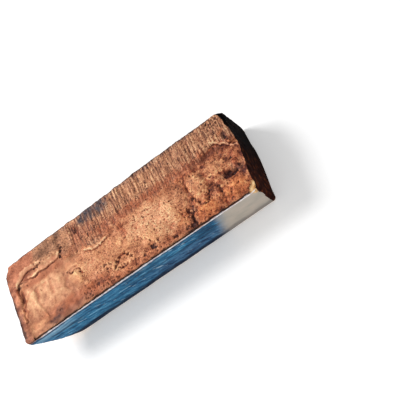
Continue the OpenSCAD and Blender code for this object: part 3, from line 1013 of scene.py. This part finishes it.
def roughFaceMaterial():
    mat, tree, shader = newMaterial("roughCastFace", metallic=0.2, specular=0.2)
    patches = noiseNode(tree, 150, detail=5, rough=0.6)
    grain = noiseNode(tree, 800, detail=3, rough=0.65)
    lumps = noiseNode(tree, 260, detail=5, rough=0.6)
    stripes = noiseNode(tree, 1, stretch=(700, 75, 90), detail=4, rough=0.62)
    scores = noiseNode(tree, 1, stretch=(760, 110, 60), detail=3, rough=0.55)
    grit = noiseNode(tree, 1500, detail=2, rough=0.6)
    field = toneRamp(tree, patches, (0.3, 140, 84, 60), (0.48, 186, 122, 88), (0.7, 208, 150, 112))
    smooth = toneRamp(tree, lumps, (0.3, 160, 104, 78), (0.5, 194, 136, 102), (0.68, 210, 154, 118))
    band = toneRamp(tree, stripes, (0.39, 100, 58, 44), (0.48, 172, 120, 90), (0.6, 214, 164, 128))
    rim = toneRamp(tree, patches, (0.34, 142, 84, 64), (0.62, 196, 130, 98))
    heel = toneRamp(tree, lumps, (0.38, 92, 44, 34), (0.49, 170, 102, 72), (0.62, 212, 148, 108))
    colour = mixNode(tree, maskNode(tree, "smoothZone"), field, smooth)
    colour = mixNode(tree, maskNode(tree, "heelZone"), colour, heel)
    calm = toneRamp(tree, patches, (0.34, 112, 78, 58), (0.5, 148, 105, 78), (0.66, 172, 125, 94))
    colour = mixNode(tree, maskNode(tree, "bandZone"), colour, band)
    colour = mixNode(tree, maskShare(tree, "calmBand", 0.9), colour, calm)
    colour = mixNode(tree, maskNode(tree, "rimZone"), colour, rim)
    # stains, some of them painted shadow and highlight
    broken = rangeNode(tree, lumps, 0.3, 0.65, 0.55, 1.0)
    stainedAndShaded = mathNode(tree, "MULTIPLY", maskNode(tree, "stainAndShade", "Alpha"), broken)
    colour = mixNode(tree, stainedAndShaded, colour, maskNode(tree, "stainAndShade", "Color"))
    stripedBand = mathNode(tree, "SUBTRACT", maskNode(tree, "bandZone"), maskNode(tree, "calmBand"))
    scored = mathNode(tree, "MULTIPLY", stripedBand, rangeNode(tree, scores, 0.45, 0.38, 0, 0.8))
    colour = mixNode(tree, scored, colour, srgb(82, 44, 34))
    # painted highlight on the fold lips
    shine = rangeNode(tree, maskNode(tree, "foldLipHighlight"), 0.12, 0.75, 0, 0.86)
    colour = mixNode(tree, shine, colour, srgb(228, 164, 129))
    speck = toneRamp(tree, grain, (0.36, 92, 52, 44), (0.45, 255, 255, 255))
    plain = mathNode(tree, "MAXIMUM", shine, maskShare(tree, "rimZone", 0.5))
    sandy = mathNode(tree, "SUBTRACT", 1.0, plain)
    speckAmount = mathNode(tree, "SUBTRACT", 0.8, maskShare(tree, "smoothZone", 0.6))
    speckAmount = mathNode(tree, "MULTIPLY", speckAmount, sandy)
    colour = mixNode(tree, speckAmount, colour, speck, "MULTIPLY")
    # painted shade turns the hollows red-brown and painted highlight turns the heights pale, in linear
    # light
    reddish = [(0.0, (0.16, 0.05, 0.03, 1.0)), (0.5, (0.5, 0.5, 0.5, 1.0)), (1.0, (1.0, 0.98, 0.95, 1.0))]
    gritty = mathNode(tree, "SUBTRACT", 0.6, maskShare(tree, "smoothZone", 0.45))
    gritty = mathNode(tree, "MULTIPLY", gritty, sandy)
    shades = (
        (gritty, rangeNode(tree, grit, 0.25, 0.75)),
        (0.75, maskNode(tree, "fineReliefShading")),
        (0.55, maskNode(tree, "broadReliefShading")),
    )
    for amount, source in shades:
        colour = mixNode(tree, amount, colour, rampNode(tree, source, reddish), "OVERLAY")
    # dark pits and cracks, and painted shade in the fold gutters
    pitsAndGutterShade = rangeNode(tree, maskNode(tree, "pitsAndGutterShade"), 0.12, 0.75, 0, 0.84)
    colour = mixNode(tree, pitsAndGutterShade, colour, srgb(56, 26, 24))
    # painted shade in creases and along the outer edges
    colour = mixNode(tree, maskShare(tree, "creaseAndEdgeShade", 0.95), colour, srgb(30, 15, 16))
    lively = addNode(tree, "ShaderNodeHueSaturation")
    lively.inputs["Saturation"].default_value = 1.02
    lively.inputs["Value"].default_value = 0.91
    tree.links.new(colour, lively.inputs["Color"])
    colour = lively.outputs["Color"]
    roughness = rangeNode(tree, patches, 0.3, 0.7, 0.7, 0.52)
    placeEdgeHighlight(tree, colour, roughness, shader)
    bumpNode(tree, grain, shader, 0.5, 0.3)
    return mat


def skyReflectedSideMaterial():
    mat, tree, shader = newMaterial("skyReflectedSide", metallic=0.2, specular=0.06)
    # the blue of the near side, its streaks, pale flecks and upper sheen are a painted reflection of a
    # blue sky
    strokes = noiseNode(tree, 1, stretch=(130, 240, 460), detail=5, rough=0.75, slant=-24)
    streaks = noiseNode(tree, 1, stretch=(40, 260, 380), detail=5, rough=0.66)
    clouds = noiseNode(tree, 1, stretch=(70, 100, 140), detail=4, rough=0.6)
    flecks = noiseNode(tree, 1, stretch=(110, 260, 560), detail=2, slant=-14)
    mottling = mathNode(tree, "MULTIPLY", mathNode(tree, "ADD", strokes, streaks), 0.5)
    blue = toneRamp(
        tree, mottling,
        (0.41, 10, 46, 76), (0.475, 32, 96, 136), (0.55, 62, 134, 174), (0.66, 136, 190, 216),
    )
    darkerBlue = toneRamp(tree, clouds, (0.4, 12, 52, 88), (0.6, 56, 106, 142))
    colour = mixNode(tree, rangeNode(tree, clouds, 0.4, 0.65, 0.0, 0.3), blue, darkerBlue)
    lower = toneRamp(tree, strokes, (0.4, 28, 52, 88), (0.6, 92, 116, 150))
    colour = mixNode(tree, maskShare(tree, "lowSideDarker", 0.5), colour, lower)
    pale = toneRamp(tree, streaks, (0.35, 40, 104, 146), (0.6, 150, 186, 204))
    colour = mixNode(tree, maskShare(tree, "upperSheen", 0.65), colour, pale)
    colour = mixNode(tree, rangeNode(tree, flecks, 0.65, 0.73, 0, 0.6), colour, srgb(190, 214, 228))
    # dark streaks, and painted shade under the burr
    colour = mixNode(tree, maskShare(tree, "darkStreakAndBurrShade", 0.75), colour, srgb(6, 28, 58))
    # painted grey reflection at the heel end of the near side
    grey = toneRamp(tree, clouds, (0.3, 178, 170, 158), (0.7, 198, 184, 170))
    colour = mixNode(tree, maskNode(tree, "greyReflection"), colour, grey)
    lowTone = mathNode(tree, "SUBTRACT", 0.92, maskShare(tree, "greyReflection", 0.5))
    colour = mixNode(tree, maskShare(tree, "lowEdge", lowTone), colour, srgb(6, 22, 48))
    placeEdgeHighlight(tree, colour, 0.5, shader)
    bumpNode(tree, streaks, shader, 0.3, 0.4)
    return mat


def shadedHeelMaterial():
    # the heel's near black is painted shade, its brown towards the near side a painted reflected glow
    mat, tree, shader = newMaterial("shadedHeel", specular=0.02)
    heelMottle = noiseNode(tree, 260, detail=5)
    black = toneRamp(tree, heelMottle, (0.4, 6, 4, 6), (0.56, 16, 9, 8), (0.74, 40, 22, 13))
    brown = toneRamp(tree, heelMottle, (0.4, 36, 17, 14), (0.54, 56, 26, 20), (0.7, 104, 54, 28))
    colour = mixNode(tree, maskNode(tree, "heelReflectedGlow"), black, brown)
    tree.links.new(colour, shader.inputs["Base Color"])
    shader.inputs["Roughness"].default_value = 0.9
    bumpNode(tree, heelMottle, shader, 0.5, 0.5)
    return mat


def castSkinMaterial():
    mat, tree, shader = newMaterial("castSkin", metallic=0.3, specular=0.25)
    flow = noiseNode(tree, 1, stretch=(40, 60, 260), detail=5, rough=0.62)
    skin = noiseNode(tree, 240, detail=5, rough=0.6)
    grain = noiseNode(tree, 900, detail=2)
    colour = toneRamp(tree, flow, (0.32, 110, 68, 54), (0.5, 158, 104, 78), (0.68, 190, 138, 108))
    mottling = toneRamp(tree, skin, (0.35, 120, 78, 62), (0.6, 206, 156, 124))
    colour = mixNode(tree, 0.25, colour, mottling)
    speck = toneRamp(tree, grain, (0.34, 150, 104, 86), (0.46, 255, 255, 255))
    colour = mixNode(tree, 0.5, colour, speck, "MULTIPLY")
    colour = mixNode(tree, maskShare(tree, "lowEdge", 0.7), colour, srgb(58, 36, 32))
    # painted shade on the toe's nose
    colour = mixNode(tree, maskShare(tree, "noseShade", 0.9), colour, srgb(64, 38, 36))
    tree.links.new(colour, shader.inputs["Base Color"])
    tree.links.new(rangeNode(tree, skin, 0.3, 0.7, 0.65, 0.45), shader.inputs["Roughness"])
    bumpNode(tree, skin, shader, 0.4, 0.4)
    return mat


def sawnBaseMaterial():
    mat, tree, shader = newMaterial("sawnBase", metallic=0.8)
    cuts = noiseNode(tree, 1, stretch=(560, 14, 60), detail=3)
    colour = toneRamp(tree, cuts, (0.3, 208, 166, 132), (0.7, 246, 214, 168))
    tree.links.new(colour, shader.inputs["Base Color"])
    tree.links.new(rangeNode(tree, cuts, 0.3, 0.7, 0.42, 0.3), shader.inputs["Roughness"])
    bumpNode(tree, cuts, shader, 0.4, 0.2)
    return mat


for make in (roughFaceMaterial, skyReflectedSideMaterial, shadedHeelMaterial, castSkinMaterial, sawnBaseMaterial):
    ingot.data.materials.append(make())
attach(ingot, "root")
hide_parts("ingot")
print("materials set")

# floor and light

stageSettings = {
    "floorSize": 6.0,
    "floorColour": (0.88, 0.88, 0.88, 1.0),
    "floorLift": 0.25,  # whitens the floor for the camera and for reflections
    "world": 0.45,
    # lamps: place in metres, power, size
    "lamps": {
        "keyLight": ((-0.55, 0.42, 0.72), 8.0, 0.4),
        "fillLight": ((0.25, -0.8, 0.35), 2.0, 0.6),
    },
}


def addFloor():
    bpy.ops.mesh.primitive_plane_add(size=stageSettings["floorSize"])
    floor = bpy.context.object
    floor.name = "paleFloor"
    mat, tree, shader = newMaterial("paleFloor")
    shader.inputs["Base Color"].default_value = stageSettings["floorColour"]
    shader.inputs["Roughness"].default_value = 0.8
    rays = addNode(tree, "ShaderNodeLightPath")
    seen = mathNode(tree, "ADD", rays.outputs["Is Camera Ray"], rays.outputs["Is Glossy Ray"])
    lift = mathNode(tree, "MULTIPLY", seen, stageSettings["floorLift"])
    shader.inputs["Emission Color"].default_value = (1, 1, 1, 1)
    tree.links.new(lift, shader.inputs["Emission Strength"])
    floor.data.materials.append(mat)


def addLight(name, place, power, size):
    bpy.ops.object.light_add(type="AREA", location=place)
    lamp = bpy.context.object
    lamp.name = name
    lamp.data.energy = power
    lamp.data.size = size
    aim = -lamp.location
    lamp.rotation_euler = aim.to_track_quat("-Z", "Y").to_euler()


def setWorld():
    # soft light all round, white where the camera or a reflection sees it
    world = bpy.data.worlds.new("softRoom")
    scene.world = world
    world.use_nodes = True
    tree = world.node_tree
    back = tree.nodes["Background"]
    back.inputs["Color"].default_value = (1, 1, 1, 1)
    rays = addNode(tree, "ShaderNodeLightPath")
    strength = rangeNode(tree, rays.outputs["Is Camera Ray"], 0, 1, stageSettings["world"], 1.0)
    tree.links.new(strength, back.inputs["Strength"])


addFloor()
for name, (place, power, size) in stageSettings["lamps"].items():
    addLight(name, place, power, size)
setWorld()
print("floor and light set")
